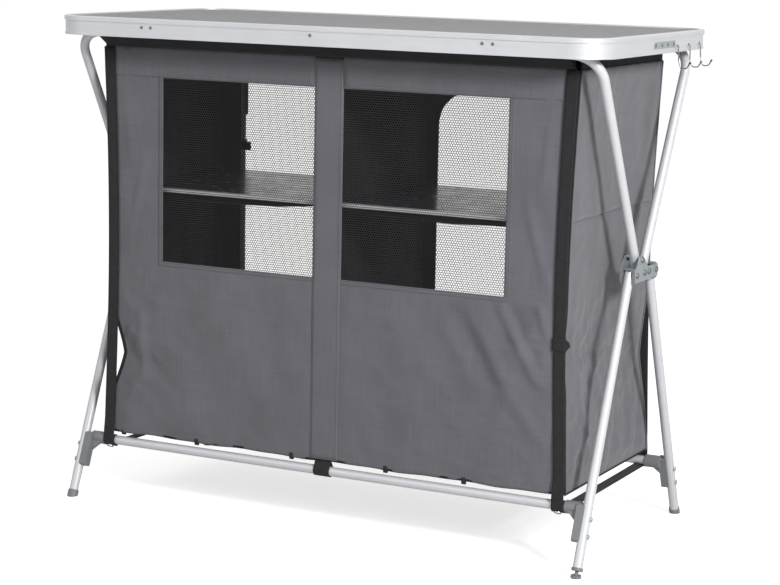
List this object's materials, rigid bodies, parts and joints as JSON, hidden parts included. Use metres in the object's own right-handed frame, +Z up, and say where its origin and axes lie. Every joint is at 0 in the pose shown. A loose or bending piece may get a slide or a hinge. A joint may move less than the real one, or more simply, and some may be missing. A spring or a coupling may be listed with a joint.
{
  "type": "folding camping cupboard",
  "caption": "Folding camping cupboard with a rounded worktop on a crossed tube frame and a hung fabric box with mesh windows, shelves and rear doors.",
  "frame": {"origin": "on the floor under the middle of the overall box, hooks included", "axes": "+Z up, +X along the worktop to the end with the hooks, -Y towards the front with the mesh windows"},
  "size_m": [1.0378, 0.508, 0.85],
  "materials": {
    "laminate": "fine matt grey laminate",
    "edge_aluminium": "satin silver",
    "zinc_plate": "zinc plated",
    "frame_paint": "silver-white powder coat",
    "grey_plastic": "moulded grey",
    "black_plastic": "moulded black",
    "grey_cloth": "woven polyester",
    "black_webbing": "woven webbing",
    "black_net": "open net",
    "shelf_laminate": "dark glossy laminate",
    "brown_tab": "brown pull tab"
  },
  "bodies": {
    "cupboard": {"hub_plates_left": "zinc_plate", "hub_plates_right": "zinc_plate", "hub_rivets_left": "zinc_plate", "hub_rivets_right": "zinc_plate", "strap_snaps": "zinc_plate", "hub_blocks_left": "grey_plastic", "hub_blocks_right": "grey_plastic", "front_panel": "grey_cloth", "rear_panel": "grey_cloth", "left_panel": "grey_cloth", "right_panel": "grey_cloth", "floor_panel": "grey_cloth", "divider_panel": "grey_cloth", "front_centre_strip": "grey_cloth", "rolled_door_left": "grey_cloth", "rolled_door_right": "grey_cloth", "top_bands": "black_webbing", "corner_straps": "black_webbing", "under_straps": "black_webbing", "bar_loops": "black_webbing", "corner_bindings": "black_webbing", "door_ties": "black_webbing", "door_zips": "black_webbing", "window_mesh_left": "black_net", "window_mesh_right": "black_net"},
    "tabletop": {"tabletop_panel": "laminate", "tabletop_edge_profile": "edge_aluminium", "edge_joint_plate": "zinc_plate", "joint_plate_rivets": "zinc_plate", "fascia_rivets": "zinc_plate", "rail_seat_blocks": "grey_plastic"},
    "hook_body_1": {"hook_1": "zinc_plate"},
    "hook_body_2": {"hook_2": "zinc_plate"},
    "hook_body_3": {"hook_3": "zinc_plate"},
    "upper_front": {"upper_frame_front": "frame_paint"},
    "upper_rear": {"upper_frame_rear": "frame_paint"},
    "lower_front": {"leg_front_left": "frame_paint", "leg_front_right": "frame_paint", "bottom_bar_front": "frame_paint", "brackets_front": "grey_plastic", "bracket_rivets_front": "zinc_plate", "foot_cap_front_left": "grey_plastic", "foot_insert_front_right": "grey_plastic"},
    "lower_rear": {"leg_rear_left": "frame_paint", "leg_rear_right": "frame_paint", "bottom_bar_rear": "frame_paint", "brackets_rear": "grey_plastic", "bracket_rivets_rear": "zinc_plate", "foot_caps_rear": "grey_plastic"},
    "level_foot": {"levelling_foot": "grey_plastic"},
    "latch_lever_left": {"latch_left": "black_plastic"},
    "shelf_left": {"shelf_board_left": "shelf_laminate", "shelf_trim_left": "edge_aluminium", "shelf_sling_left": "grey_cloth"},
    "pull_left": {"zip_pull_left": "brown_tab"},
    "latch_lever_right": {"latch_right": "black_plastic"},
    "shelf_right": {"shelf_board_right": "shelf_laminate", "shelf_trim_right": "edge_aluminium", "shelf_sling_right": "grey_cloth"},
    "pull_right": {"zip_pull_right": "brown_tab"}
  },
  "joints": [
    {"name": "frame_fold", "type": "hinge", "parent": "cupboard", "child": "lower_front", "pos_m": [-0.01145, -0.0446, 0.461], "axis": [1, 0, 0], "range_deg": [0, 21.8], "deforming": ["corner_straps", "under_straps", "bar_loops", "strap_snaps", "top_bands"]},
    {"name": "rear_leg_fold", "type": "hinge", "parent": "cupboard", "child": "lower_rear", "pos_m": [-0.01145, 0.0446, 0.461], "axis": [1, 0, 0], "range_deg": [-21.8, 0]},
    {"name": "front_upper_fold", "type": "hinge", "parent": "cupboard", "child": "upper_front", "pos_m": [-0.01145, -0.01, 0.462], "axis": [1, 0, 0], "range_deg": [-28.5, 0]},
    {"name": "rear_upper_fold", "type": "hinge", "parent": "cupboard", "child": "upper_rear", "pos_m": [-0.01145, 0.01, 0.462], "axis": [1, 0, 0], "range_deg": [0, 28.5]},
    {"name": "tabletop_lift", "type": "slide", "parent": "cupboard", "child": "tabletop", "axis": [0, 0, 1], "range_m": [0, 0.15]},
    {"name": "shelf_tip_left", "type": "hinge", "parent": "cupboard", "child": "shelf_left", "pos_m": [-0.22595, -0.0025, 0.5535], "axis": [1, 0, 0], "range_deg": [0, 90]},
    {"name": "shelf_tip_right", "type": "hinge", "parent": "cupboard", "child": "shelf_right", "pos_m": [0.20305, -0.0025, 0.5535], "axis": [1, 0, 0], "range_deg": [0, 90]},
    {"name": "hook_swing_1", "type": "hinge", "parent": "tabletop", "child": "hook_body_1", "pos_m": [0.4928, 0.076, 0.828], "axis": [0, -1, 0], "range_deg": [0, 40]},
    {"name": "hook_swing_2", "type": "hinge", "parent": "tabletop", "child": "hook_body_2", "pos_m": [0.4928, 0.132, 0.828], "axis": [0, -1, 0], "range_deg": [0, 40]},
    {"name": "hook_swing_3", "type": "hinge", "parent": "tabletop", "child": "hook_body_3", "pos_m": [0.4928, 0.184, 0.828], "axis": [0, -1, 0], "range_deg": [0, 40]},
    {"name": "foot_level", "type": "slide", "parent": "lower_front", "child": "level_foot", "axis": [0, -0.3714, -0.9285], "range_m": [0, 0.008]},
    {"name": "latch_pull_left", "type": "hinge", "parent": "cupboard", "child": "latch_lever_left", "pos_m": [-0.47895, -0.022, 0.472], "axis": [0, 1, 0], "range_deg": [0, 6], "stiffness_Nm_per_rad": 0.05},
    {"name": "latch_pull_right", "type": "hinge", "parent": "cupboard", "child": "latch_lever_right", "pos_m": [0.45605, -0.022, 0.472], "axis": [0, -1, 0], "range_deg": [0, 6], "stiffness_Nm_per_rad": 0.05},
    {"name": "zip_pull_swing_left", "type": "hinge", "parent": "cupboard", "child": "pull_left", "pos_m": [-0.38545, 0.178, 0.729], "axis": [0, 1, 0], "range_deg": [-30, 30]},
    {"name": "zip_pull_swing_right", "type": "hinge", "parent": "cupboard", "child": "pull_right", "pos_m": [0.36255, 0.178, 0.729], "axis": [0, 1, 0], "range_deg": [-30, 30]}
  ],
  "couplings": [
    {"joint": "rear_leg_fold", "follows": "frame_fold", "ratio": -1},
    {"joint": "front_upper_fold", "follows": "frame_fold", "ratio": -1.3073},
    {"joint": "rear_upper_fold", "follows": "frame_fold", "ratio": 1.3073},
    {"joint": "tabletop_lift", "follows": "frame_fold", "m_per_rad": 0.394},
    {"joint": "shelf_tip_left", "follows": "frame_fold", "ratio": 4.128},
    {"joint": "shelf_tip_right", "follows": "frame_fold", "ratio": 4.128}
  ]
}
